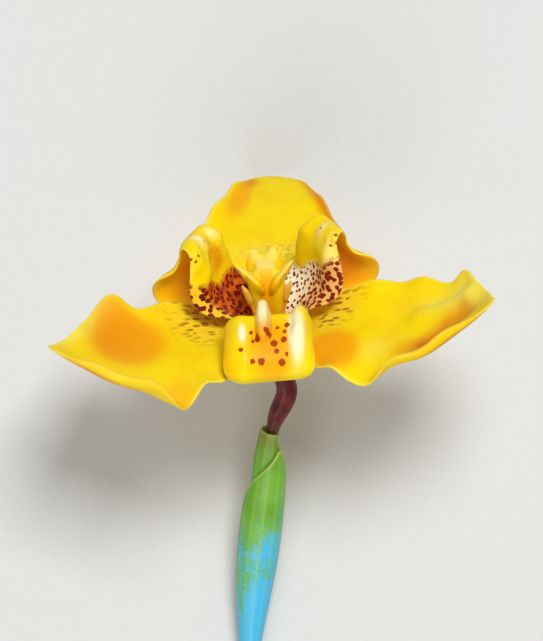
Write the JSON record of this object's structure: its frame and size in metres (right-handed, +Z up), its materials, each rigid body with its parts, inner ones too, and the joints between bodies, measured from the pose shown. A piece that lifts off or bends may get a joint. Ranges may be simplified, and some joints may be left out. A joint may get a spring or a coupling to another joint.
{
  "type": "cut walking iris flower",
  "caption": "Yellow walking iris (apostle plant) flower with spreading outer tepals, hooded spotted inner tepals, dark ovary and green spathe on a cut stem, lying down.",
  "frame": {"origin": "middle of the whole part's footprint, on the surface it lies on", "axes": "+Z up from the surface, -Y towards the cut end of the stem, +Y towards the tip of the back tepal, +X towards the right outer tepal as the open flower is seen from above with the stem below"},
  "size_m": [0.0698, 0.1584, 0.0483],
  "materials": {
    "tepal": "satin",
    "inner_tepal": "satin",
    "style": "satin",
    "stamen": "matte",
    "ovary": "matte",
    "spathe": "satin",
    "scape": "satin"
  },
  "bodies": {
    "root": {"outer_tepal_left": "tepal", "outer_tepal_right": "tepal", "outer_tepal_back": "tepal", "inner_tepal_front": "inner_tepal", "inner_tepal_left": "inner_tepal", "inner_tepal_right": "inner_tepal", "style": "style", "stamen_back": "stamen", "stamen_left": "stamen", "stamen_right": "stamen", "ovary": "ovary", "spathe_outer": "spathe", "spathe_inner": "spathe", "scape": "scape"}
  },
  "joints": []
}
